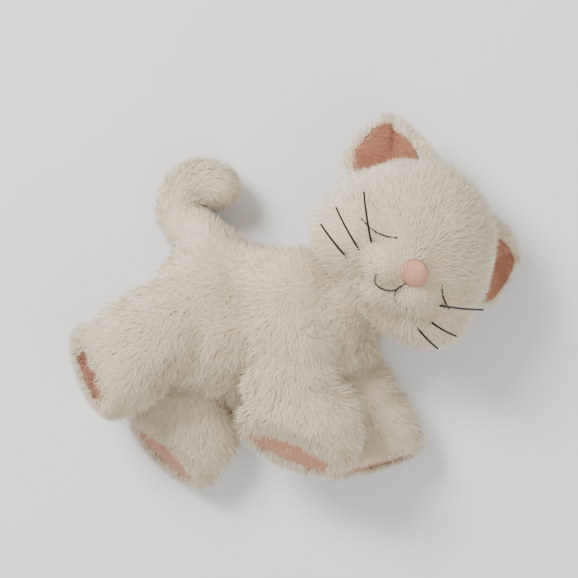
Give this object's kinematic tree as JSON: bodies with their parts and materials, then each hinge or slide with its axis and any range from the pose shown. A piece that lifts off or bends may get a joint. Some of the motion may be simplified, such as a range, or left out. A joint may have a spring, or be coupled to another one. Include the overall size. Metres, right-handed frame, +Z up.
{
  "type": "plush cat",
  "caption": "Floppy long-pile plush kitten lying on its side, head turned up, with swinging legs, tail, ears and neck.",
  "frame": {"origin": "middle of the bounding box, at the floor", "axes": "+Z up from the floor, +X towards the nose end of the lying kitten, +Y towards its back"},
  "size_m": [0.2737, 0.2271, 0.1068],
  "materials": {
    "cream_plush": "long soft pile",
    "fibre_filling": "loose polyester fibre",
    "pellet_bag": "plastic pellets in a sewn bag",
    "pink_velour": "short pile",
    "pink_satin": "satin stitches over padding",
    "black_thread": "waxed thread",
    "sewing_thread": "strong thread"
  },
  "bodies": {
    "torso": {"torso_skin": "cream_plush", "torso_stuffing": "fibre_filling", "torso_pellet_bag": "pellet_bag", "closing_seam": "sewing_thread"},
    "neck": {"neck_stuffing": "fibre_filling", "neck_gather_thread": "sewing_thread"},
    "head": {"head_skin": "cream_plush", "head_stuffing": "fibre_filling", "nose": "pink_satin", "mouth_stitching": "black_thread", "right_eye_stitching": "black_thread", "left_eye_stitching": "black_thread", "right_upper_whisker": "black_thread", "right_middle_whisker": "black_thread", "right_lower_whisker": "black_thread", "left_upper_whisker": "black_thread", "left_middle_whisker": "black_thread", "left_lower_whisker": "black_thread"},
    "right_ear": {"right_ear_back": "cream_plush", "right_ear_lining": "pink_velour"},
    "left_ear": {"left_ear_back": "cream_plush", "left_ear_lining": "pink_velour"},
    "right_front_leg": {"right_front_leg_skin": "cream_plush", "right_front_leg_stuffing": "fibre_filling", "right_front_pellet_bag": "pellet_bag", "right_front_pad": "pink_velour"},
    "left_front_leg": {"left_front_leg_skin": "cream_plush", "left_front_leg_stuffing": "fibre_filling", "left_front_pellet_bag": "pellet_bag", "left_front_pad": "pink_velour"},
    "right_hind_leg": {"right_hind_leg_skin": "cream_plush", "right_hind_leg_stuffing": "fibre_filling", "right_hind_pellet_bag": "pellet_bag", "right_hind_pad": "pink_velour"},
    "left_hind_leg": {"left_hind_leg_skin": "cream_plush", "left_hind_leg_stuffing": "fibre_filling", "left_hind_pellet_bag": "pellet_bag", "left_hind_pad": "pink_velour"},
    "tail": {"tail_skin": "cream_plush", "tail_stuffing": "fibre_filling"}
  },
  "joints": [
    {"name": "right_front_leg_swing", "type": "hinge", "parent": "torso", "child": "right_front_leg", "pos_m": [-0.006, -0.0005, 0], "axis": [0, 0, 1], "range_deg": [-18, 22]},
    {"name": "left_front_leg_swing", "type": "hinge", "parent": "torso", "child": "left_front_leg", "pos_m": [0.011, -0.0135, 0], "axis": [0, 0, 1], "range_deg": [-20, 16]},
    {"name": "right_hind_leg_swing", "type": "hinge", "parent": "torso", "child": "right_hind_leg", "pos_m": [-0.065, -0.0015, 0], "axis": [0, 0, 1], "range_deg": [-35, 19]},
    {"name": "left_hind_leg_swing", "type": "hinge", "parent": "torso", "child": "left_hind_leg", "pos_m": [-0.063, -0.0195, 0], "axis": [0, 0, 1], "range_deg": [-35, 18]},
    {"name": "neck_turn", "type": "hinge", "parent": "torso", "child": "neck", "pos_m": [0.03003, 0.00363, 0.03631], "axis": [0.7071, 0.7071, 0], "range_deg": [-25, 25]},
    {"name": "head_nod", "type": "hinge", "parent": "neck", "child": "head", "pos_m": [0.03003, 0.00363, 0.03631], "axis": [0.683, -0.683, -0.2588], "range_deg": [-10, 10]},
    {"name": "right_ear_fold", "type": "hinge", "parent": "head", "child": "right_ear", "pos_m": [0.05412, 0.08779, 0.05183], "axis": [0.9958, -0.045, -0.0796], "range_deg": [-16, 30], "stiffness_Nm_per_rad": 0.01},
    {"name": "left_ear_fold", "type": "hinge", "parent": "head", "child": "left_ear", "pos_m": [0.11566, 0.02625, 0.02851], "axis": [0.0035, -0.9542, -0.299], "range_deg": [-16, 30], "stiffness_Nm_per_rad": 0.01},
    {"name": "tail_swing", "type": "hinge", "parent": "torso", "child": "tail", "pos_m": [-0.0586, 0.0355, 0.032], "axis": [0, 0, 1], "range_deg": [-25, 25]}
  ]
}
